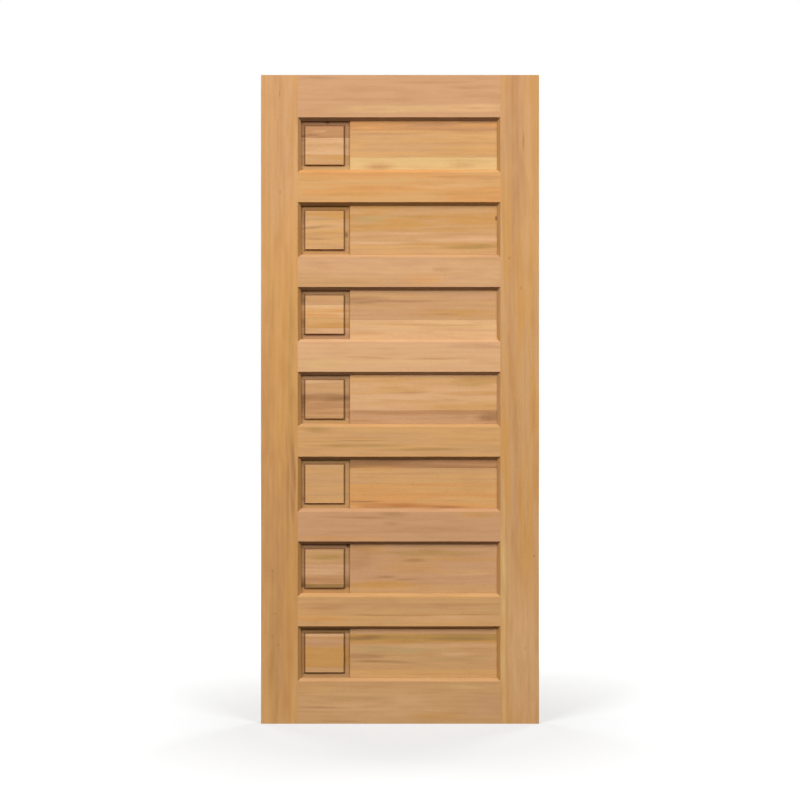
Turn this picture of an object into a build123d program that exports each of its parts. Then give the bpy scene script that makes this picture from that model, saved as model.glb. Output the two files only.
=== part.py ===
from build123d import *
from math import atan2, degrees
import os

# Solid wood door leaf, framed and panelled alike on both faces. Sizes are in millimetres.
# X runs from the hinge edge to the lock edge, the front faces -Y and Z is up.
# The origin is on the hinge edge, at mid thickness, at the foot of the leaf.

# Leaf
door_width = 900
door_height = 2100
door_thickness = 44
edge_radius = 1.5            # eased long corners of the hinge and lock edges

# Frame members, measured on their flat faces
left_stile_face = 119
right_stile_face = 125
top_rail_face = 137
bottom_rail_face = 137
cross_rail_face = 96
row_count = 7                # openings from top to bottom, with a cross rail between each two

# Sloped sticking that is run along every edge beside a panel, and the groove in its middle
sticking_width = 10
sticking_depth = 12
groove_width = 7.4
groove_depth = 14
fit = 0.2                    # glue line on each side of a tongue or tenon
panel_float = 2              # room left at the bottom of a groove for the panel to swell

# Tenons on the rails
tenon_thickness = 14
tenon_length = 48            # reach past the bottom of the stile groove
tenon_shoulder = 14          # step from the stub tenon to the long tenon at a grooved edge
haunch = 40                  # the same step at the outer edge of the top and bottom rails
mortise_end_gap = 2

# Square panels: a raised field in a sunk ring, one in each row beside the left stile
field_size = 124
step_run = 3                 # width of the steep shoulder round the raised field
field_thickness = 18
ring_beside_stile = 11       # flat of the ring, from the sticking to the shoulder
ring_beside_panel = 17       # flat of the ring, from the shoulder to the long panel

# Long panels: flat boards that fill the rest of each row
panel_thickness = 18
panel_arris = 1.5            # small chamfer on the edge beside the square panel
shoulder_gap = 0.3           # joint between the panel's face and the sticking

# Lines that the pieces share
tongue_thickness = groove_width - 2 * fit
tongue_length = groove_depth - panel_float
mortise_width = tenon_thickness + 2 * fit
stub_length = groove_depth - fit
left_arris = left_stile_face
left_foot = left_arris + sticking_width
right_arris = door_width - right_stile_face
right_foot = right_arris - sticking_width
leaf_front = -door_thickness / 2
leaf_back = door_thickness / 2
foot_front = leaf_front + sticking_depth
foot_back = leaf_back - sticking_depth
rails_total = top_rail_face + bottom_rail_face + (row_count - 1) * cross_rail_face
opening_height = (door_height - rails_total) / row_count
row_pitch = opening_height + cross_rail_face
shoulder_foot = field_size + 2 * step_run
step_rise = (field_thickness - tongue_thickness) / 2
step_angle = degrees(atan2(step_run, step_rise))
field_centre_x = left_foot + ring_beside_stile + shoulder_foot / 2
long_panel_left = field_centre_x + shoulder_foot / 2 + ring_beside_panel


def opening_top(row):
    """Height of the arris under the rail above a row; row 1 is the highest."""
    return door_height - top_rail_face - (row - 1) * row_pitch


def tenon_span(low, high, sticking_below, sticking_above):
    """Heights of the stub tenon and of the long tenon of a rail whose face runs from low to high."""
    stub_low = low - sticking_width + groove_depth if sticking_below else low
    stub_high = high + sticking_width - groove_depth if sticking_above else high
    long_low = stub_low + (tenon_shoulder if sticking_below else haunch)
    long_high = stub_high - (tenon_shoulder if sticking_above else haunch)
    return stub_low, stub_high, long_low, long_high


# Each rail: name, bottom and top of its face, sticking on its lower and on its upper edge
rails = [("top_rail", opening_top(1), door_height, True, False)]
for number in range(1, row_count):
    rail_low = opening_top(number + 1)
    rails.append((f"cross_rail_{number}", rail_low, rail_low + cross_rail_face, True, True))
rails.append(("bottom_rail", 0, opening_top(row_count) - opening_height, False, True))

os.makedirs("parts", exist_ok=True)

# Stiles: the sticking and its groove run the whole height, and a wider mortise is cut through at each rail.
# Each is drawn on a plane at its outer edge that points into the leaf, so one description serves both.
stile_planes = {
    "left_stile": (left_stile_face, Plane.XY),
    "right_stile": (right_stile_face, Plane(origin=(door_width, 0, 0), x_dir=(-1, 0, 0), z_dir=(0, 0, 1))),
}
for name, (face, outer_plane) in stile_planes.items():
    stile_foot = face + sticking_width
    mortise_depth = groove_depth + tenon_length + mortise_end_gap
    with BuildPart(outer_plane) as stile:
        with BuildSketch(outer_plane) as stile_section:
            with BuildLine():
                Polyline(
                    (0, leaf_front),
                    (face, leaf_front),
                    (stile_foot, foot_front),
                    (stile_foot, foot_back),
                    (face, leaf_back),
                    (0, leaf_back),
                    close=True,
                )
            make_face()
            with Locations((stile_foot - groove_depth / 2, 0)):
                Rectangle(groove_depth, groove_width, mode=Mode.SUBTRACT)
        extrude(amount=door_height)
        for rail_name, low, high, below, above in rails:
            _, _, long_low, long_high = tenon_span(low, high, below, above)
            mortise_height = long_high - long_low + 2 * fit
            with Locations((stile_foot - mortise_depth / 2, 0, (long_low + long_high) / 2)):
                Box(mortise_depth, mortise_width, mortise_height, mode=Mode.SUBTRACT)
        edge_side = outer_plane.x_dir.X
        outer_corners = stile.edges().filter_by(Axis.Z).group_by(Axis((0, 0, 0), (edge_side, 0, 0)))[0]
        fillet(outer_corners, radius=edge_radius)
    stile.part.label = name
    export_step(stile.part, f"parts/{name}.step")

# Rails: the same sticking and groove on each edge beside a panel. The ends are coped to sit over
# the sticking of the stiles, so that the faces meet at the arris, and carry a stub tenon that fills
# the stile groove and a longer, thicker tenon for the mortise.
for name, low, high, below, above in rails:
    stub_low, stub_high, long_low, long_high = tenon_span(low, high, below, above)
    foot_low = low - sticking_width if below else low
    foot_high = high + sticking_width if above else high
    outline = [(leaf_front, low), (leaf_front, high)]
    if above:
        outline += [(foot_front, foot_high), (foot_back, foot_high)]
    outline += [(leaf_back, high), (leaf_back, low)]
    if below:
        outline += [(foot_back, foot_low), (foot_front, foot_low)]
    with BuildPart() as rail:
        with BuildSketch(Plane.YZ.offset(left_arris)) as rail_section:
            with BuildLine():
                Polyline(*outline, close=True)
            make_face()
            if below:
                with Locations((0, foot_low + groove_depth / 2)):
                    Rectangle(groove_width, groove_depth, mode=Mode.SUBTRACT)
            if above:
                with Locations((0, foot_high - groove_depth / 2)):
                    Rectangle(groove_width, groove_depth, mode=Mode.SUBTRACT)
        extrude(amount=right_arris - left_arris)
        with BuildSketch(Plane.XY.offset(foot_low)) as cope:
            for arris, foot in ((left_arris, left_foot), (right_arris, right_foot)):
                with BuildLine():
                    Polyline(
                        (arris, leaf_front),
                        (foot, foot_front),
                        (foot, foot_back),
                        (arris, leaf_back),
                        close=True,
                    )
                make_face()
        extrude(amount=foot_high - foot_low, mode=Mode.SUBTRACT)
        for foot, outward in ((left_foot, -1), (right_foot, 1)):
            with Locations((foot + outward * stub_length / 2, 0, (stub_low + stub_high) / 2)):
                Box(stub_length, tongue_thickness, stub_high - stub_low)
            reach = groove_depth + tenon_length
            with Locations((foot + outward * reach / 2, 0, (long_low + long_high) / 2)):
                Box(reach, tenon_thickness, long_high - long_low)
    rail.part.label = name
    export_step(rail.part, f"parts/{name}.step")

# Panels, row by row from the top
for row in range(1, row_count + 1):
    row_top = opening_top(row) - sticking_width
    row_bottom = opening_top(row) - opening_height + sticking_width
    row_centre = (row_top + row_bottom) / 2
    tongue_height = row_top - row_bottom + 2 * tongue_length

    # The ring is as thick as a tongue and runs on into the grooves on all four sides
    ring_left = left_foot - tongue_length
    ring_right = long_panel_left + tongue_length
    with BuildPart() as square_panel:
        with BuildSketch(Plane.XZ) as ring:
            with Locations(((ring_left + ring_right) / 2, row_centre)):
                Rectangle(ring_right - ring_left, tongue_height)
        extrude(amount=tongue_thickness / 2, both=True)
        with BuildSketch(Plane.XZ.offset(tongue_thickness / 2)) as raised_field:
            with Locations((field_centre_x, row_centre)):
                Rectangle(shoulder_foot, shoulder_foot)
        extrude(amount=step_rise, taper=step_angle)
        mirror(about=Plane.XZ)
    square_panel.part.label = f"square_panel_{row}"
    export_step(square_panel.part, f"parts/square_panel_{row}.step")

    # The long panel has a tongue on three sides, and a groove on the fourth for the square panel
    panel_right = right_foot - shoulder_gap
    tongue_right = right_foot + tongue_length
    panel_height = row_top - row_bottom - 2 * shoulder_gap
    with BuildPart() as long_panel:
        with BuildSketch(Plane.XZ) as panel_face:
            with Locations(((long_panel_left + panel_right) / 2, row_centre)):
                Rectangle(panel_right - long_panel_left, panel_height)
        extrude(amount=panel_thickness / 2, both=True)
        left_edges = long_panel.edges().filter_by(Axis.Z).group_by(Axis.X)[0]
        chamfer(left_edges, length=panel_arris)
        with BuildSketch(Plane.XZ) as tongue:
            with Locations(((long_panel_left + tongue_right) / 2, row_centre)):
                Rectangle(tongue_right - long_panel_left, tongue_height)
        extrude(amount=tongue_thickness / 2, both=True)
        with Locations((long_panel_left + groove_depth / 2, 0, row_centre)):
            Box(groove_depth, groove_width, tongue_height, mode=Mode.SUBTRACT)
    long_panel.part.label = f"long_panel_{row}"
    export_step(long_panel.part, f"parts/long_panel_{row}.step")
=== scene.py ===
# %% [markdown]
# # A solid wood door
# The leaf is a frame of two upright stiles and eight level rails. Each of its seven openings holds a raised
# square panel and a flat long panel. The joints and sizes are settled in the CAD model, so this lesson is
# about one thing: making every board look like its own piece of cedar. The first cell loads the packed
# model. Its nodes are the fixed frame that all the rest is fitted to.

# %% Load the frame
import math
import random

import bpy
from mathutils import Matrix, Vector, noise


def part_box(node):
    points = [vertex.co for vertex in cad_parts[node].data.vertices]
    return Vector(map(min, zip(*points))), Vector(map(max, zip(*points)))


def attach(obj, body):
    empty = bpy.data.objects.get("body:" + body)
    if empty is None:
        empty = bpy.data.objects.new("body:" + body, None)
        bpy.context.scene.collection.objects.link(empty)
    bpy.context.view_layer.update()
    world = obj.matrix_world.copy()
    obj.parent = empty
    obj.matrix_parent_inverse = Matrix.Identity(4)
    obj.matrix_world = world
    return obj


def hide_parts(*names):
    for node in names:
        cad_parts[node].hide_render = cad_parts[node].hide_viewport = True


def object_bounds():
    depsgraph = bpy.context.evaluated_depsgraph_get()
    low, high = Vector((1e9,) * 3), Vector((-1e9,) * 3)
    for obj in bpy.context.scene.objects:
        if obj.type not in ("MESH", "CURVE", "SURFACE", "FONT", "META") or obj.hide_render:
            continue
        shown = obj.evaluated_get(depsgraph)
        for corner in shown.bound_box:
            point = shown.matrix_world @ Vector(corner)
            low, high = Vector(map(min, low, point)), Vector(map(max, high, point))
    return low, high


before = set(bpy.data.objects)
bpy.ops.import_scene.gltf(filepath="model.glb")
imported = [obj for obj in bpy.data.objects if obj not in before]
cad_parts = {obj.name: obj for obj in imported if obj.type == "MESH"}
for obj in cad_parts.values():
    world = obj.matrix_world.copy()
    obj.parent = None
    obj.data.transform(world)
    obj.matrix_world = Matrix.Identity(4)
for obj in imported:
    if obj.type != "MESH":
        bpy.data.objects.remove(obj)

cad_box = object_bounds()
MM = 0.001
print("nodes:", len(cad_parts), "box:", [list(corner) for corner in cad_box])

# %% [markdown]
# ## The camera
# The photograph was taken square to the door, from about mid height. How far off shows in the slopes under
# the rails: in the top rows, which the camera looks up into, they are wider than in the bottom rows, which
# it looks down on. That puts the camera about five metres away. A long lens then fits the door into the
# picture, and the door's centre lies a hair above the middle of it, which sets the camera's height.

# %% Place the camera
door_low, door_high = Vector(cad_box[0]), Vector(cad_box[1])
door_middle = (door_low + door_high) / 2
VIEW_DISTANCE = 5.0
VIEW_WIDTH = 2.589
SENSOR_WIDTH = 36.0
CENTRE_DROP = 2.1 * MM

camera_data = bpy.data.cameras.new("photo_camera")
camera_data.sensor_width = SENSOR_WIDTH
camera_data.lens = SENSOR_WIDTH * VIEW_DISTANCE / VIEW_WIDTH
camera = bpy.data.objects.new("photo_camera", camera_data)
camera.location = (door_middle.x, door_low.y - VIEW_DISTANCE, door_middle.z - CENTRE_DROP)
camera.rotation_euler = (math.radians(90), 0, 0)
bpy.context.scene.collection.objects.link(camera)
bpy.context.scene.camera = camera
bpy.context.scene.view_settings.view_transform = "Standard"
print("lens:", round(camera_data.lens, 1), "mm")

# %% [markdown]
# ## Two helpers for materials
# Colours are written the way a paint chart gives them, as sRGB hex values, and one function turns them into
# the linear numbers that Blender works in. A second function adds a node, sets its properties and links its
# inputs, so that a material reads as a short list of steps.

# %% Colour and node helpers
def linear(hex_code):
    """An sRGB hex colour as linear RGBA."""
    channels = [int(hex_code[i:i + 2], 16) / 255 for i in (1, 3, 5)]
    return tuple(c / 12.92 if c <= 0.04045 else ((c + 0.055) / 1.055) ** 2.4 for c in channels) + (1.0,)


def add(tree, kind, inputs=None, **settings):
    """A new node of a kind. Inputs, by name or number, are plain values or another node's outputs."""
    made = tree.nodes.new(kind)
    for name, value in settings.items():
        setattr(made, name, value)
    for key, value in (inputs or {}).items():
        if isinstance(value, bpy.types.NodeSocket):
            tree.links.new(value, made.inputs[key])
        else:
            made.inputs[key].default_value = value
    return made


print("mid grey, #808080, is", round(linear("#808080")[0], 3), "in linear light")

# %% [markdown]
# ## The wood
# Cedar is a light, straight-grained wood, planed and sanded here and left without a stain. Boards from one
# log range from pale yellow over honey to a pinkish brown, with soft streaks along the grain. A board's
# pattern has to run along its own grain, and two boards side by side must never share one. A pattern in the
# door's own coordinates would do both wrong, so every board carries three attributes: its place in a log of
# its own, called grain, with the first axis along the fibres; the tone that is painted on it further down;
# and a painted shade for each face, which darkens the slopes and the sunk rings, and the sawn ends partly as
# darker end grain and partly as painted shade. One material then serves all the boards: it takes the tone
# and adds what is finer than a brush, the growth rings, streaks, fibres and pores. Two things belong to a
# place on the door and not to a board, so they are drawn in the door's coordinates: the pin knots, and a
# painted shade in the corner round the foot of the raised squares.

# %% Sizes of the grain
WANDER_LONG, WANDER_WIDE, WANDER = 330 * MM, 45 * MM, 7 * MM
RING_SPACING = 15 * MM
RING_DRAWN_OUT = 0.035
SMUDGE_LONG, SMUDGE_WIDE = 120 * MM, 20 * MM
STREAK_LONG, STREAK_WIDE = 260 * MM, 5 * MM
# Real fibres and pores are a fifth of these widths, but then they would not show
FIBRE_LONG, FIBRE_WIDE = 45 * MM, 1.0 * MM
PORE_LONG, PORE_WIDE = 9 * MM, 0.7 * MM
# How far each of these darkens the wood at most
RING_DARK, SMUDGE_DARK, STREAK_DARK, FIBRE_DARK, PORE_DARK = 0.07, 0.12, 0.11, 0.065, 0.18
print("growth rings every", round(RING_SPACING / MM), "mm, fibres", round(FIBRE_WIDE / MM, 1), "mm wide")

# %% Knots and painted corner shade
# Pin knots and dark flecks: place across the door and above the floor, half width and half height in mm,
# and darkness
KNOTS = [
    (38, 494, 6, 5, 0.22),
    (45, 356, 9, 4, 0.20),
    (37, 282, 5, 6, 0.20),
    (56, 256, 5, 4, 0.20),
    (62, 1721, 4, 9, 0.20),
    (60, 2038, 3, 14, 0.25),
    (803, 1507, 5, 5, 0.25),
    (842, 1410, 4, 7, 0.25),
    (850, 1884, 3, 36, 0.35),
    (884, 543, 5, 6, 0.25),
    (855, 245, 4, 6, 0.20),
    (214, 1948, 9, 6, 0.60),
    (762, 1638, 5, 11, 0.65),
    (276, 1584, 7, 12, 0.50),
    (281, 575, 8, 9, 0.80),
]
# Painted shade in the corner round the foot of each raised square: its darkness, and where it starts and ends
# outside the square
PAINTED_CORNER_SHADE, PAINTED_CORNER_START, PAINTED_CORNER_END = 0.60, 2 * MM, 8 * MM
# Painted shade on the slopes and in the sunk rings, and on the sawn ends partly darker end grain and partly
# painted shade: how light each is, where a sanded face is 1
PAINTED_SLOPE_SHADE, PAINTED_RING_SHADE, END_GRAIN_AND_PAINTED_SHADE = 0.82, 0.78, 0.65


def raised_square(row):
    """The lowest and highest corner of the raised face of a row's square panel."""
    corners = [vertex.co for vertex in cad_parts[f"square_panel_{row}"].data.vertices]
    front = min(corner.y for corner in corners)
    face = [corner for corner in corners if corner.y < front + 0.1 * MM]
    low, high = ([pick(corner[axis] for corner in face) for axis in range(3)] for pick in (min, max))
    return Vector(low), Vector(high)


square_low, square_high = raised_square(7)
square_middle = (square_low + square_high) / 2
square_half = (square_high.x - square_low.x) / 2
row_pitch = raised_square(6)[0].z - square_low.z
print("raised squares:", round(2 * square_half / MM, 1), "mm wide, every", round(row_pitch / MM, 1), "mm")


# %% Steps of the finish
KNOT_HEART, KNOT_RIM = 0.2, 1.2


def drawn_out(tree, place, long, wide, detail):
    """Cloudy noise, drawn out along the grain."""
    size = (1 / long, 1 / wide, 1 / wide)
    stretched = add(tree, "ShaderNodeVectorMath", {0: place, 1: size}, operation="MULTIPLY").outputs[0]
    return add(tree, "ShaderNodeTexNoise", {"Vector": stretched, "Scale": 1.0, "Detail": detail}).outputs


def stain(tree, colour, value, start, full, darkness, tint):
    """Darkens a colour with a tint, from where a value passes the start to where it reaches full."""
    ramp = {"Value": value, "From Min": start, "From Max": full, "To Min": 0.0, "To Max": darkness}
    amount = add(tree, "ShaderNodeMapRange", ramp, interpolation_type="SMOOTHSTEP").outputs[0]
    mixed = {0: amount, 6: colour, 7: linear(tint)}
    return add(tree, "ShaderNodeMix", mixed, data_type="RGBA", blend_type="MULTIPLY").outputs[2]


def stain_knots(tree, colour, place):
    """A knot goes right through its board, so its place is taken from across and up alone."""
    for x, z, half_width, half_height, darkness in KNOTS:
        size = (1 / (half_width * MM), 0, 1 / (half_height * MM))
        centred = {0: place, 1: size, 2: (-x / half_width, 0, -z / half_height)}
        oval = add(tree, "ShaderNodeVectorMath", centred, operation="MULTIPLY_ADD").outputs[0]
        reach = add(tree, "ShaderNodeVectorMath", {0: oval}, operation="LENGTH").outputs["Value"]
        colour = stain(tree, colour, reach, KNOT_RIM, KNOT_HEART, darkness, "#7A5030")
    return colour


def paint_corner_shade(tree, colour, place, painted_shade):
    """Painted shade along the foot of the step round each raised square."""
    # The rows are alike, so heights are wrapped into one row
    shifted = add(tree, "ShaderNodeVectorMath", {0: place, 1: square_middle}, operation="SUBTRACT").outputs[0]
    across, _, up = add(tree, "ShaderNodeSeparateXYZ", {0: shifted}).outputs
    one_row = {0: up, 1: row_pitch / 2, 2: -row_pitch / 2}
    up = add(tree, "ShaderNodeMath", one_row, operation="WRAP").outputs[0]
    across = add(tree, "ShaderNodeMath", {0: across}, operation="ABSOLUTE").outputs[0]
    up = add(tree, "ShaderNodeMath", {0: up}, operation="ABSOLUTE").outputs[0]
    out = add(tree, "ShaderNodeMath", {0: across, 1: up}, operation="MAXIMUM").outputs[0]
    # The ring and the step are told by their shade, and every other face counts as a metre further out
    corner_faces = {0: painted_shade, 1: (PAINTED_RING_SHADE + PAINTED_SLOPE_SHADE) / 2, 2: 0.05}
    takes_corner_shade = add(tree, "ShaderNodeMath", corner_faces, operation="COMPARE").outputs[0]
    further = add(tree, "ShaderNodeMath", {0: 1.0, 1: takes_corner_shade}, operation="SUBTRACT").outputs[0]
    out = add(tree, "ShaderNodeMath", {0: out, 1: further}, operation="ADD").outputs[0]
    return stain(tree, colour, out, square_half + PAINTED_CORNER_END, square_half + PAINTED_CORNER_START, PAINTED_CORNER_SHADE, "#6A4A2C")


# The reach printed here is that of the painted corner shade round the raised squares
print("knots:", len(KNOTS), "dust reaches", round(PAINTED_CORNER_END / MM), "mm from a raised square")


# %% The cedar material
def make_cedar(name):
    """Planed and sanded cedar: matt, with late wood, streaks, fibres and pores darker than the tone."""
    wood = bpy.data.materials.new(name)
    wood.use_nodes = True
    tree = wood.node_tree
    grain = add(tree, "ShaderNodeAttribute", attribute_name="grain").outputs["Vector"]
    tone = add(tree, "ShaderNodeAttribute", attribute_name="tone").outputs["Color"]
    painted_shade = add(tree, "ShaderNodeAttribute", attribute_name="painted_shade").outputs["Fac"]

    # The fibres wander a few millimetres from side to side
    wander = drawn_out(tree, grain, WANDER_LONG, WANDER_WIDE, 1.0)["Color"]
    sideways = {0: wander, 1: (0.0, 2 * WANDER, 2 * WANDER), 2: grain}
    fibres = add(tree, "ShaderNodeVectorMath", sideways, operation="MULTIPLY_ADD").outputs[0]

    # Growth rings lie round the pith, which runs along the first axis
    drawn = (RING_DRAWN_OUT, 1.0, 1.0)
    log = add(tree, "ShaderNodeVectorMath", {0: fibres, 1: drawn}, operation="MULTIPLY").outputs[0]
    wave = {"Vector": log, "Scale": math.pi / 10 / RING_SPACING, "Distortion": 2.5, "Detail Scale": 0.6}
    rings = add(tree, "ShaderNodeTexWave", wave, wave_type="RINGS", rings_direction="X", wave_profile="SAW")
    smudge = drawn_out(tree, fibres, SMUDGE_LONG, SMUDGE_WIDE, 1.0)["Fac"]
    streak = drawn_out(tree, fibres, STREAK_LONG, STREAK_WIDE, 1.5)["Fac"]
    fibre = drawn_out(tree, grain, FIBRE_LONG, FIBRE_WIDE, 2.0)["Fac"]
    pores = drawn_out(tree, grain, PORE_LONG, PORE_WIDE, 0.0)["Fac"]

    # The painted tone is darkened by each face's painted shade, and then by each mark in the wood
    shaded = {0: 1.0, 6: tone, 7: painted_shade}
    colour = add(tree, "ShaderNodeMix", shaded, data_type="RGBA", blend_type="MULTIPLY").outputs[2]
    colour = stain(tree, colour, rings.outputs["Fac"], 0.3, 1.0, RING_DARK, "#C8A274")
    colour = stain(tree, colour, smudge, 0.42, 0.75, SMUDGE_DARK, "#CCA478")
    colour = stain(tree, colour, streak, 0.60, 0.74, STREAK_DARK, "#BC9466")
    colour = stain(tree, colour, fibre, 0.3, 0.75, FIBRE_DARK, "#C4A07C")
    colour = stain(tree, colour, pores, 0.66, 0.74, PORE_DARK, "#A07C5C")
    place = add(tree, "ShaderNodeTexCoord").outputs["Object"]
    colour = stain_knots(tree, colour, place)
    # Painted shade in the corner round the foot of each raised square
    colour = paint_corner_shade(tree, colour, place, painted_shade)

    # Sanded wood is matt, and a little rougher in the open pores
    matt = {"Value": fibre, "From Min": 0.25, "From Max": 0.75, "To Min": 0.55, "To Max": 0.67}
    rough = add(tree, "ShaderNodeMapRange", matt, interpolation_type="SMOOTHSTEP").outputs[0]
    height = add(tree, "ShaderNodeMath", {0: fibre, 1: pores}, operation="SUBTRACT").outputs[0]
    bump = add(tree, "ShaderNodeBump", {"Height": height, "Strength": 0.35, "Distance": 0.12 * MM})
    shader = tree.nodes["Principled BSDF"]
    shader.inputs["IOR"].default_value = 1.5
    shader.inputs["Specular IOR Level"].default_value = 0.2
    tree.links.new(colour, shader.inputs["Base Color"])
    tree.links.new(rough, shader.inputs["Roughness"])
    tree.links.new(bump.outputs["Normal"], shader.inputs["Normal"])
    return wood


cedar = make_cedar("planed_cedar")
print("cedar nodes:", len(cedar.node_tree.nodes))

# %% [markdown]
# ## Copying a CAD node
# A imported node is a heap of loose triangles. A copy is merged and its flat faces are dissolved back into
# whole ones, so that it can be sawn and eased like a board on the bench. Easing is what sandpaper does to a
# sharp corner, and here a narrow bevel does the same.

# %% Board helpers
EASING = 0.35 * MM
SHARP_CORNER = math.radians(30)
MERGE_WITHIN, FLAT_WITHIN = 0.01 * MM, math.radians(1)


def clean_copy(node_name, piece_name):
    """A merged copy of a CAD node, with one face for each flat."""
    bpy.ops.object.select_all(action="DESELECT")
    piece = bpy.data.objects.new(piece_name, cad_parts[node_name].data.copy())
    bpy.context.scene.collection.objects.link(piece)
    piece.data.materials.clear()
    piece.data.materials.append(cedar)
    piece.select_set(True)
    bpy.context.view_layer.objects.active = piece
    bpy.ops.mesh.customdata_custom_splitnormals_clear()
    bpy.ops.object.mode_set(mode="EDIT")
    bpy.ops.mesh.select_all(action="SELECT")
    bpy.ops.mesh.remove_doubles(threshold=MERGE_WITHIN)
    bpy.ops.mesh.dissolve_limited(angle_limit=FLAT_WITHIN)
    bpy.ops.object.mode_set(mode="OBJECT")
    return piece


def saw(piece, height, keep_above):
    """Cuts a piece level at a height and closes the cut."""
    bpy.ops.object.mode_set(mode="EDIT")
    bpy.ops.mesh.select_all(action="SELECT")
    cut = {"plane_co": (0, 0, height), "plane_no": (0, 0, 1), "use_fill": True}
    bpy.ops.mesh.bisect(clear_inner=keep_above, clear_outer=not keep_above, **cut)
    bpy.ops.object.mode_set(mode="OBJECT")


def ease(piece):
    """Takes the sharpness off every corner, as sanding does."""
    bevel = piece.modifiers.new("easing", "BEVEL")
    bevel.width = EASING
    bevel.segments = 2
    bevel.limit_method = "ANGLE"
    bevel.angle_limit = SHARP_CORNER
    bpy.ops.object.modifier_apply(modifier=bevel.name)


def fit_to_frame(piece, node_name):
    """The piece is attached to the root body and stands for its CAD node, which is hidden."""
    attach(piece, "root")
    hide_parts(node_name)


print("corners will be eased by", round(EASING / MM, 2), "mm")

# %% [markdown]
# ## Painting the tones
# The soft streaks of a board are broad enough to be painted on its corners, as with Vertex Paint. A board
# has only a few corners, so a grid is cut across it first, fine across the grain and coarse along it. Two
# tones then drift into each other along the board, and single streaks are laid over them where the
# photograph shows them. A streak is a tone, the middle of a long soft oval (across the door and up from the
# floor), its half length along the grain, its half width and its strength. All sizes are in millimetres. No
# streak in real wood is an even stroke, so each is bent a little and broken up along its length.

# %% Tones of the wood
TONES = {
    "cream": "#E1B47F",
    "pale": "#DDB67B",
    "peach": "#DBAC7E",
    "honey": "#D5A369",
    "tan": "#CD9E6B",
    "pink": "#CB9B70",
    "rose": "#BC8A5E",
    "brown": "#A0744C",
    "umber": "#8E6A40",
    "golden": "#CC9757",
    "olive": "#B48C50",
    "orange": "#D79C5E",
    "moss": "#BF9F6C",
    "russet": "#B8703C",
}
print("tones:", len(TONES))

# %% Streaks on stiles and rails
STREAKS = {
    "left_stile": [
        ("pink", 60, 1950, 420, 70, 0.6),
        ("rose", 66, 1950, 180, 6, 0.5),
        ("orange", 96, 1320, 480, 22, 0.5),
        ("golden", 60, 900, 600, 90, 0.75),
        ("rose", 20, 900, 520, 24, 0.4),
        ("olive", 98, 1150, 330, 10, 0.5),
        ("brown", 104, 790, 150, 8, 0.8),
        ("brown", 86, 720, 260, 5, 0.5),
        ("rose", 66, 420, 420, 50, 0.5),
        ("golden", 92, 330, 300, 20, 0.7),
        ("olive", 40, 250, 260, 16, 0.4),
    ],
    "right_stile": [
        ("rose", 840, 1950, 330, 60, 0.4),
        ("rose", 822, 1820, 420, 15, 0.6),
        ("honey", 864, 1780, 450, 14, 0.5),
        ("rose", 806, 1230, 300, 12, 0.4),
        ("brown", 822, 1000, 160, 10, 0.25),
        ("rose", 826, 700, 260, 18, 0.4),
        ("pale", 784, 330, 440, 9, 0.7),
        ("peach", 845, 220, 260, 50, 0.5),
    ],
    "top_rail": [
        ("rose", 560, 2076, 130, 5, 0.7),
        ("rose", 690, 2060, 100, 7, 0.5),
        ("brown", 190, 2090, 60, 4, 0.5),
        ("rose", 370, 2018, 130, 8, 0.45),
        ("pale", 430, 1990, 190, 14, 0.5),
        ("cream", 680, 1992, 130, 14, 0.6),
    ],
    "cross_rail_1": [
        ("brown", 610, 1770, 70, 3, 0.5),
        ("rose", 730, 1766, 70, 7, 0.45),
        ("golden", 170, 1764, 70, 10, 0.6),
        ("golden", 330, 1712, 130, 8, 0.5),
        ("rose", 440, 1738, 14, 9, 0.35),
        ("golden", 640, 1716, 120, 9, 0.5),
        ("cream", 600, 1742, 110, 14, 0.4),
    ],
    "cross_rail_2": [
        ("peach", 330, 1480, 260, 40, 0.6),
        ("peach", 660, 1460, 200, 50, 0.6),
        ("orange", 520, 1438, 70, 20, 0.5),
        ("rose", 585, 1468, 30, 9, 0.5),
        ("rose", 260, 1430, 110, 7, 0.4),
    ],
    "cross_rail_3": [
        ("pink", 700, 1222, 100, 9, 0.7),
        ("pale", 190, 1166, 90, 14, 0.7),
        ("cream", 480, 1172, 190, 9, 0.6),
        ("rose", 335, 1186, 70, 3, 0.5),
        ("rose", 590, 1182, 90, 3, 0.5),
    ],
    "cross_rail_4": [
        ("olive", 320, 902, 150, 5, 0.8),
        ("olive", 540, 888, 130, 5, 0.8),
        ("umber", 330, 918, 90, 2.5, 0.4),
        ("olive", 180, 955, 40, 12, 0.6),
        ("olive", 190, 915, 70, 3, 0.6),
        ("honey", 680, 935, 160, 40, 0.9),
    ],
    "cross_rail_5": [
        ("golden", 715, 676, 90, 10, 0.6),
        ("brown", 300, 668, 110, 4, 0.45),
        ("brown", 430, 680, 50, 8, 0.35),
        ("brown", 420, 650, 26, 6, 0.3),
        ("orange", 250, 600, 160, 7, 0.5),
        ("rose", 520, 628, 150, 10, 0.5),
    ],
    "cross_rail_6": [
        ("honey", 450, 412, 420, 9, 0.9),
        ("rose", 610, 384, 220, 7, 0.6),
        ("rose", 200, 380, 90, 12, 0.6),
        ("orange", 180, 338, 110, 10, 0.8),
        ("brown", 480, 352, 330, 2.5, 0.5),
        ("peach", 640, 340, 190, 9, 0.6),
    ],
    "bottom_rail": [
        ("peach", 380, 60, 240, 50, 0.5),
        ("pink", 735, 60, 90, 40, 0.7),
        ("pale", 640, 118, 90, 6, 0.5),
        ("golden", 570, 26, 90, 10, 0.7),
        ("olive", 300, 82, 110, 9, 0.4),
        ("brown", 190, 52, 90, 3, 0.4),
        ("brown", 270, 8, 80, 3, 0.4),
        ("honey", 180, 110, 60, 18, 0.5),
    ],
}
print("streaks on stiles and rails:", sum(len(streaks) for streaks in STREAKS.values()))

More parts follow.
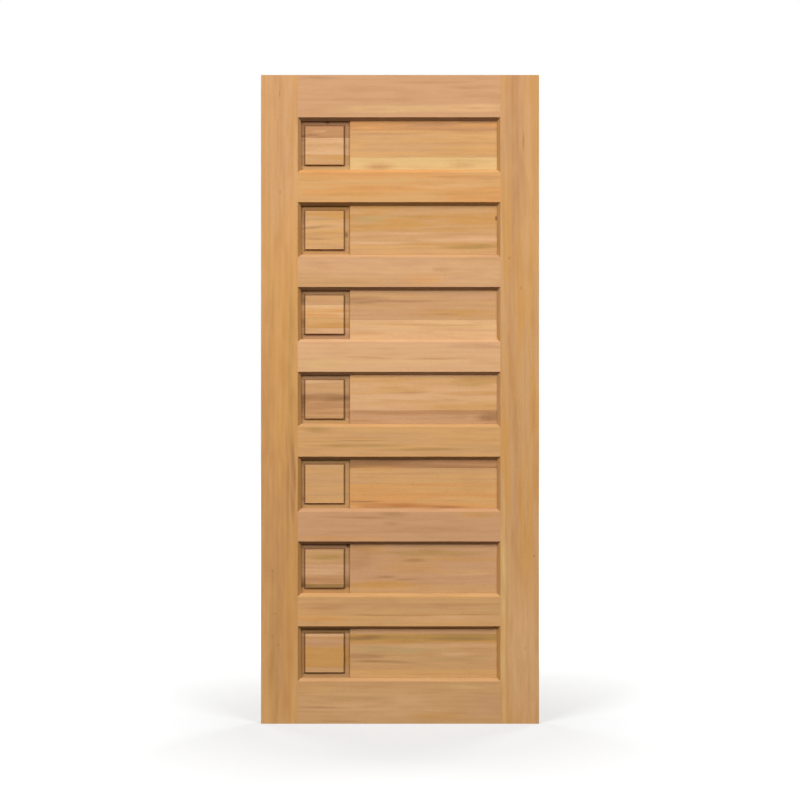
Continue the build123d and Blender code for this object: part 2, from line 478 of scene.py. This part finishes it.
# %% Streaks on long panels
STREAKS |= {
    "long_panel_1": [
        ("orange", 345, 1938, 120, 16, 0.8),
        ("rose", 420, 1912, 120, 4, 0.6),
        ("rose", 690, 1925, 120, 12, 0.7),
        ("golden", 660, 1855, 130, 16, 0.4),
        ("tan", 385, 1806, 50, 13, 0.8),
        ("olive", 385, 1803, 28, 8, 0.4),
        ("tan", 655, 1809, 40, 10, 0.6),
    ],
    "long_panel_2": [
        ("moss", 350, 1636, 55, 11, 0.95),
        ("olive", 480, 1643, 90, 4, 0.7),
        ("golden", 400, 1606, 110, 9, 0.8),
        ("golden", 690, 1631, 120, 18, 0.9),
        ("tan", 560, 1660, 190, 16, 0.6),
        ("olive", 690, 1545, 110, 8, 0.95),
        ("golden", 590, 1556, 170, 6, 0.7),
    ],
    "long_panel_3": [
        ("brown", 330, 1372, 80, 14, 0.5),
        ("brown", 420, 1368, 150, 4, 0.45),
        ("golden", 640, 1330, 150, 13, 0.7),
        ("brown", 600, 1326, 40, 4, 0.35),
        ("golden", 500, 1292, 220, 3, 0.6),
        ("cream", 560, 1300, 260, 5, 0.6),
        ("orange", 330, 1262, 80, 6, 0.5),
    ],
    "long_panel_4": [
        ("orange", 380, 1112, 130, 4, 0.5),
        ("olive", 690, 1106, 80, 18, 0.4),
        ("golden", 690, 1068, 110, 8, 0.6),
        ("brown", 480, 1072, 60, 3, 0.3),
        ("brown", 742, 992, 45, 18, 0.8),
        ("brown", 620, 990, 60, 3, 0.4),
    ],
    "long_panel_5": [
        ("rose", 520, 840, 90, 16, 0.4),
        ("golden", 350, 826, 90, 9, 0.6),
        ("rose", 440, 806, 130, 4, 0.5),
        ("russet", 420, 707, 140, 6, 0.6),
        ("russet", 570, 701, 110, 5, 0.6),
        ("brown", 325, 718, 60, 3, 0.8),
        ("brown", 410, 700, 90, 3, 0.7),
        ("brown", 590, 699, 80, 2.5, 0.6),
        ("honey", 660, 722, 130, 9, 0.7),
    ],
    "long_panel_6": [
        ("olive", 540, 552, 190, 10, 0.7),
        ("golden", 350, 566, 60, 14, 0.6),
        ("golden", 600, 532, 200, 9, 0.6),
        ("umber", 500, 527, 40, 6, 0.55),
        ("peach", 690, 484, 90, 3, 0.7),
        ("rose", 320, 540, 50, 36, 0.6),
        ("brown", 470, 466, 45, 3, 0.6),
        ("brown", 405, 475, 35, 3, 0.5),
        ("honey", 650, 492, 120, 9, 0.6),
        ("golden", 390, 450, 130, 13, 0.9),
        ("golden", 480, 505, 110, 20, 0.45),
    ],
    "long_panel_7": [
        ("pink", 480, 302, 200, 6, 0.6),
        ("olive", 540, 275, 330, 11, 0.8),
        ("umber", 340, 276, 70, 9, 0.65),
        ("umber", 650, 272, 110, 8, 0.4),
        ("moss", 440, 240, 150, 12, 0.7),
        ("moss", 640, 210, 120, 9, 0.4),
        ("peach", 600, 252, 190, 8, 0.6),
        ("brown", 330, 216, 70, 10, 0.5),
        ("umber", 400, 200, 110, 4, 0.5),
        ("peach", 640, 224, 90, 6, 0.6),
    ],
}
print("with those on long panels:", sum(len(streaks) for streaks in STREAKS.values()))

# %% Streaks on square panels
# The short ovals at 134 to 136 mm and at 279 mm across, with a half length of 9 mm, fill the sunk ring beside
# the stile and beside the long panel: they are painted shade in the ring
STREAKS |= {
    "square_panel_1": [
        ("brown", 165, 1910, 26, 4, 0.9),
        ("brown", 195, 1901, 26, 4, 0.7),
        ("umber", 134, 1906, 9, 4, 0.9),
        ("umber", 136, 1893, 9, 3, 0.8),
        ("pale", 190, 1922, 22, 4, 0.5),
    ],
    "square_panel_2": [
        ("brown", 134, 1640, 9, 26, 0.5),
        ("olive", 200, 1610, 60, 4, 0.7),
        ("brown", 160, 1605, 40, 3, 0.7),
        ("golden", 220, 1590, 60, 5, 0.6),
        ("brown", 180, 1572, 50, 3, 0.5),
        ("moss", 190, 1632, 60, 4, 0.7),
    ],
    "square_panel_3": [
        ("umber", 134, 1378, 9, 20, 0.6),
        ("brown", 134, 1298, 9, 15, 0.7),
        ("brown", 279, 1375, 9, 18, 0.5),
    ],
    "square_panel_4": [
        ("brown", 206, 1056, 140, 13, 0.75),
        ("brown", 134, 1042, 9, 22, 0.8),
    ],
    "square_panel_5": [
        ("brown", 134, 728, 9, 8, 0.8),
    ],
    "square_panel_6": [
        ("umber", 134, 452, 9, 10, 0.9),
        ("umber", 279, 452, 9, 8, 0.6),
        ("olive", 210, 540, 60, 9, 0.8),
    ],
    "square_panel_7": [
        ("pink", 206, 262, 140, 17, 0.95),
    ],
}
print("streaks in all:", sum(len(streaks) for streaks in STREAKS.values()))

# %% Grid for the brush
ALONG_GRID, ACROSS_GRID = 20 * MM, 3.4 * MM


def rule_grid(piece, upright):
    """Cuts a grid across a piece, so that there are corners to paint on."""
    low, high = Vector(piece.bound_box[0]), Vector(piece.bound_box[6])
    steps = {0: ACROSS_GRID, 2: ALONG_GRID} if upright else {0: ALONG_GRID, 2: ACROSS_GRID}
    bpy.ops.object.mode_set(mode="EDIT")
    for axis, step in steps.items():
        count = max(1, round((high[axis] - low[axis]) / step))
        across = Vector((axis == 0, 0, axis == 2))
        for number in range(1, count):
            bpy.ops.mesh.select_all(action="SELECT")
            bpy.ops.mesh.bisect(plane_co=low.lerp(high, number / count), plane_no=across)
    bpy.ops.object.mode_set(mode="OBJECT")


print("corners to paint on every", round(ACROSS_GRID / MM, 1), "mm across the grain")

# %% [markdown]
# ## Brushing a board
# The brush goes over the corners of a board one by one. Each corner gets its place in the log, measured
# from a pith that lies off to one side at random, and its mixed colour. The faces get a painted shade too:
# the slopes and the sunk rings are darkened as painted shade, and the sawn ends partly as darker end grain
# and partly as painted shade.

# %% The brush
DRIFT_LONG, DRIFT_WIDE = 300 * MM, 18 * MM
DRIFT_FALLOFF, DRIFT_STEP, DRIFT_LAYERS = 0.8, 2.0, 3
# A streak bends from side to side, and breaks up into patches of this length and width
STREAK_BEND, BEND_LONG = 4 * MM, 125 * MM
BREAK_LONG, BREAK_WIDE = 70 * MM, 9 * MM
# Its cover wavers about the first number by up to the second
COVER, COVER_BREAK = 0.95, 0.7
# It has faded out at this many times its half length or half width
STREAK_END = 1.4
# The pith is this far off, and boards lie far apart along the log, so that no two share a pattern
PITH_NEAR, PITH_FAR, PITH_ASIDE = 35 * MM, 110 * MM, 45 * MM
LOG_REACH = 20
# The face of the sunk ring lies within this distance of the leaf's middle
RING_DEPTH = 4 * MM
# Parts of a face's normal: a sawn end looks up or down, a sanded face to the front, and an edge away from it
LOOKS_UP, LOOKS_FRONT, LOOKS_AWAY = 0.95, 0.9, 0.1
random.seed(7)


def soft(value):
    """Runs smoothly from 0 to 1."""
    value = min(1.0, max(0.0, value))
    return value * value * (3 - 2 * value)


def painted_face_shade(face):
    """Painted shade of a face: darker on the slopes and in the sunk ring, and on the sawn ends, which are
    partly darker end grain.
    """
    depth, facing = abs(face.center.y), abs(face.normal.y)
    if abs(face.normal.z) > LOOKS_UP:
        return END_GRAIN_AND_PAINTED_SHADE
    if facing > LOOKS_FRONT and depth < RING_DEPTH:
        return PAINTED_RING_SHADE
    return PAINTED_SLOPE_SHADE if LOOKS_AWAY < facing < LOOKS_FRONT else 1.0


def paint_board(piece, node_name, upright, tones, tilt_degrees):
    """Writes where each corner of a board lay in its log, and paints its tones."""
    mesh = piece.data
    main, second = (Vector(linear(TONES[tone])[:3]) for tone in tones)
    tilt = math.radians(tilt_degrees)
    far_along = random.uniform(-LOG_REACH, LOG_REACH)
    pith = Vector((far_along, random.choice((-1, 1)) * random.uniform(PITH_NEAR, PITH_FAR), PITH_ASIDE))
    middle = sum((Vector(corner) for corner in piece.bound_box), Vector()) / 8
    places, colours = [], []
    for vertex in mesh.vertices:
        offset = vertex.co - middle
        length, width = (offset.z, offset.x) if upright else (offset.x, offset.z)
        place = pith + Vector((length, width * math.cos(tilt) - length * math.sin(tilt), offset.y))
        places += [*place]
        spot = Vector((place.x / DRIFT_LONG, place.y / DRIFT_WIDE, 0.5))
        drift = noise.fractal(spot, DRIFT_FALLOFF, DRIFT_STEP, DRIFT_LAYERS)
        colour = main.lerp(second, soft(0.5 + drift))
        bend = STREAK_BEND * noise.noise(Vector((place.x / BEND_LONG, 0.3, 0.7)))
        gaps = noise.noise(Vector((place.x / BREAK_LONG, place.y / BREAK_WIDE, 0.9)))
        broken = COVER + COVER_BREAK * gaps
        for tone, x, z, half_length, half_width, strength in STREAKS.get(node_name, ()):
            gap = (vertex.co.x - x * MM, vertex.co.z - z * MM)
            run, side = (gap[1], gap[0]) if upright else gap
            reach = math.hypot(run / (half_length * MM), (side + bend) / (half_width * MM))
            cover = min(1.0, strength * broken) * soft(STREAK_END - reach)
            colour = colour.lerp(Vector(linear(TONES[tone])[:3]), cover)
        colours += [*colour, 1.0]
    mesh.attributes.new("grain", "FLOAT_VECTOR", "POINT").data.foreach_set("vector", places)
    mesh.attributes.new("tone", "FLOAT_COLOR", "POINT").data.foreach_set("color", colours)
    # Each face gets its painted shade: the slopes and the sunk ring darker, and the sawn ends as well
    shades = [painted_face_shade(face) for face in mesh.polygons]
    mesh.attributes.new("painted_shade", "FLOAT", "FACE").data.foreach_set("value", shades)


print("shade of slopes, rings and ends:", PAINTED_SLOPE_SHADE, PAINTED_RING_SHADE, END_GRAIN_AND_PAINTED_SHADE)

# %% [markdown]
# ## Stiles and rails
# Each stile and each rail is one board. The stiles' grain runs up and the rails' along, and the rails were
# cut from different planks, so each has its own pair of tones.

# %% Stiles and rails
FRAME_BOARDS = {
    "left_stile": ("honey", "golden", 0.3),
    "right_stile": ("tan", "golden", -0.4),
    "top_rail": ("pink", "pink", 0.8),
    "cross_rail_1": ("honey", "orange", 0.6),
    "cross_rail_2": ("tan", "pink", -0.5),
    "cross_rail_3": ("peach", "peach", 0.4),
    "cross_rail_4": ("tan", "honey", -0.6),
    "cross_rail_5": ("pink", "pink", 0.5),
    "cross_rail_6": ("honey", "tan", 0.2),
    "bottom_rail": ("tan", "tan", -0.7),
}
for node_name, (main, second, tilt) in FRAME_BOARDS.items():
    member = clean_copy(node_name, node_name + "_board")
    ease(member)
    upright = node_name.endswith("stile")
    rule_grid(member, upright)
    paint_board(member, node_name, upright, (main, second), tilt)
    fit_to_frame(member, node_name)
print("frame boards:", len(FRAME_BOARDS))

# %% [markdown]
# ## Panels of glued strips
# The panels aren't single planks. They are glued up from narrow strips, and the seams show as straight
# level changes of colour that run on through the sunk ring and the raised square. Each strip is sawn out of
# a copy of the whole panel, so the raised square is cut through exactly as it would be if it had been
# milled after the glue had set. Seams are given in millimetres below the panel's top edge, tongue included.

# %% Long and square panels
LONG_PANELS = {
    1: [(43, "orange", "rose"), (130, "honey", "tan"), (None, "pale", "pale")],
    2: [(99, "tan", "golden"), (138, "peach", "tan"), (None, "honey", "tan")],
    3: [(108, "tan", "pink"), (143, "peach", "cream"), (None, "cream", "peach")],
    4: [(126, "honey", "peach"), (None, "rose", "pink")],
    5: [(40, "brown", "rose"), (91, "tan", "honey"), (None, "orange", "honey")],
    6: [(143, "pink", "pink"), (None, "tan", "tan")],
    7: [(29, "pink", "tan"), (59, "olive", "golden"), (143, "tan", "tan"), (None, "honey", "honey")],
}
SQUARE_PANELS = {
    1: [(66, "rose", "rose"), (122, "tan", "peach"), (156, "tan", "golden"), (None, "honey", "pale")],
    2: [(56, "golden", "tan"), (101, "honey", "peach"), (157, "tan", "honey"), (None, "orange", "honey")],
    3: [(59, "tan", "pink"), (100, "cream", "orange"), (135, "golden", "honey"), (151, "peach", "tan"),
        (None, "pink", "rose")],
    4: [(40, "tan", "peach"), (78, "pink", "tan"), (152, "rose", "tan"), (None, "honey", "peach")],
    5: [(None, "tan", "honey")],
    6: [(32, "pink", "tan"), (75, "olive", "tan"), (114, "peach", "pink"), (142, "rose", "tan"),
        (153, "umber", "olive"), (None, "orange", "honey")],
    7: [(27, "olive", "tan"), (38, "cream", "peach"), (137, "golden", "golden"), (154, "tan", "tan"),
        (None, "olive", "tan")],
}


def glue_up(node_name, boards):
    """A panel made of level strips, listed from the top down."""
    panel_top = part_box(node_name)[1].z
    strips = []
    upper = None
    for seam, main, second in boards:
        strip = clean_copy(node_name, node_name + "_strip")
        if upper is not None:
            saw(strip, panel_top - upper * MM, keep_above=False)
        if seam is not None:
            saw(strip, panel_top - seam * MM, keep_above=True)
        ease(strip)
        rule_grid(strip, upright=False)
        paint_board(strip, node_name, False, (main, second), random.uniform(-1.2, 1.2))
        strips.append(strip)
        upper = seam
    bpy.ops.object.select_all(action="DESELECT")
    for strip in strips:
        strip.select_set(True)
    bpy.context.view_layer.objects.active = strips[0]
    bpy.ops.object.join()
    strips[0].name = node_name + "_boards"
    fit_to_frame(strips[0], node_name)
    return strips[0]


for row, boards in LONG_PANELS.items():
    glue_up(f"long_panel_{row}", boards)
for row, boards in SQUARE_PANELS.items():
    glue_up(f"square_panel_{row}", boards)
print("strips:", sum(len(boards) for boards in [*LONG_PANELS.values(), *SQUARE_PANELS.values()]))

# %% [markdown]
# ## The floor and the white background
# The photograph's background is plain white. A lit white room would throw so much light back that the
# shaded slopes under the rails would turn pale, so the floor and the room only look white: Light Path tells
# a shader what kind of ray has reached it, and only rays from the camera and mirror-like rays find them
# bright. The floor still takes real light as well, so that the door's shadow stays on it. Its own glow near
# the door is only what the lamps leave short of white, because a brighter one would drown the shadow.
# Further off the glow rises to full white, and the floor runs into the background without an edge.

# %% Floor
FLOOR_DARK, FLOOR_PALE, FLOOR_GLOW = 0.04, 0.25, 0.56
FADE_START, FADE_END = 0.5, 2.0


def ray_switch(tree, hidden, shown):
    """A number that is one value for light that bounces about and another for rays that show a picture."""
    path = add(tree, "ShaderNodeLightPath").outputs
    shows = path["Is Camera Ray"]
    for kind in ("Is Glossy Ray", "Is Transmission Ray"):
        shows = add(tree, "ShaderNodeMath", {0: shows, 1: path[kind]}, operation="MAXIMUM").outputs[0]
    return add(tree, "ShaderNodeMapRange", {"Value": shows, "To Min": hidden, "To Max": shown}).outputs[0]


bpy.ops.object.select_all(action="DESELECT")
bpy.ops.mesh.primitive_plane_add(size=40, location=(door_middle.x, 0, door_low.z))
floor = bpy.context.active_object
floor.name = "floor"
bpy.ops.object.transform_apply(location=True, rotation=True, scale=True)

floor_paint = bpy.data.materials.new("matt_floor_paint")
floor_paint.use_nodes = True
tree = floor_paint.node_tree
floor_shader = tree.nodes["Principled BSDF"]
floor_shader.inputs["Roughness"].default_value = 0.9
floor_shader.inputs["Specular IOR Level"].default_value = 0.0
floor_shader.inputs["Emission Color"].default_value = (1, 1, 1, 1)
tree.links.new(ray_switch(tree, FLOOR_DARK, FLOOR_PALE), floor_shader.inputs["Base Color"])
place = add(tree, "ShaderNodeTexCoord").outputs["Object"]
door_foot = (door_middle.x, 0, 0)
from_door = add(tree, "ShaderNodeVectorMath", {0: place, 1: door_foot}, operation="DISTANCE")
fade = {"From Min": FADE_START, "From Max": FADE_END, "To Min": FLOOR_GLOW, "To Max": 1.0}
even = add(tree, "ShaderNodeMapRange", {"Value": from_door.outputs["Value"], **fade}).outputs[0]
glow = add(tree, "ShaderNodeMath", {0: even, 1: ray_switch(tree, 0.0, 1.0)}, operation="MULTIPLY").outputs[0]
tree.links.new(glow, floor_shader.inputs["Emission Strength"])
floor.data.materials.append(floor_paint)
print("floor", round(floor.dimensions.x), "m wide, full white from", FADE_END, "m off")

# %% White background
ROOM_LIGHT = 0.05
world = bpy.data.worlds.new("white_studio")
bpy.context.scene.world = world
world.use_nodes = True
tree = world.node_tree
tree.nodes["Background"].inputs["Color"].default_value = (1, 1, 1, 1)
tree.links.new(ray_switch(tree, ROOM_LIGHT, 1.0), tree.nodes["Background"].inputs["Strength"])
print("the room gives", ROOM_LIGHT, "of the light that it shows")

# %% [markdown]
# ## The lamps
# In the photograph the slopes under the rails are dark with a soft edge, those above them are bright, and
# the sunk rings round the squares are dim on all sides. That is how flat work is usually photographed: two
# large softboxes, high up and well out to the left and the right, so that each one lights what the other
# leaves in shade. The slopes that face left are a little brighter, so the left lamp is the stronger one.
# Two more stand behind the door, so that the back can be looked at as well. They stand lower, because the
# leaf's top edge would turn white under four high lamps.

# %% Softboxes
LAMP_DISTANCE = 12.0
LAMP_WIDE, LAMP_TALL = 4.5, 7.0
# Each lamp: degrees round from the door's front, degrees up, and watts
SOFTBOXES = {
    "front_left": (-40, 39, 1380),
    "front_right": (40, 39, 1030),
    "rear_right": (140, 18, 1120),
    "rear_left": (-140, 18, 840),
}

for name, (degrees_round, degrees_up, power) in SOFTBOXES.items():
    turn, rise = math.radians(degrees_round), math.radians(degrees_up)
    lamp_data = bpy.data.lights.new(name + "_softbox", "AREA")
    lamp_data.shape = "RECTANGLE"
    lamp_data.size = LAMP_WIDE
    lamp_data.size_y = LAMP_TALL
    lamp_data.energy = power
    lamp = bpy.data.objects.new(name + "_softbox", lamp_data)
    level = LAMP_DISTANCE * math.cos(rise)
    height = LAMP_DISTANCE * math.sin(rise)
    lamp.location = door_middle + Vector((level * math.sin(turn), -level * math.cos(turn), height))
    lamp.rotation_euler = (math.pi / 2 - rise, 0, turn)
    bpy.context.scene.collection.objects.link(lamp)
    print(lamp.name, "at", [round(c, 2) for c in lamp.location])
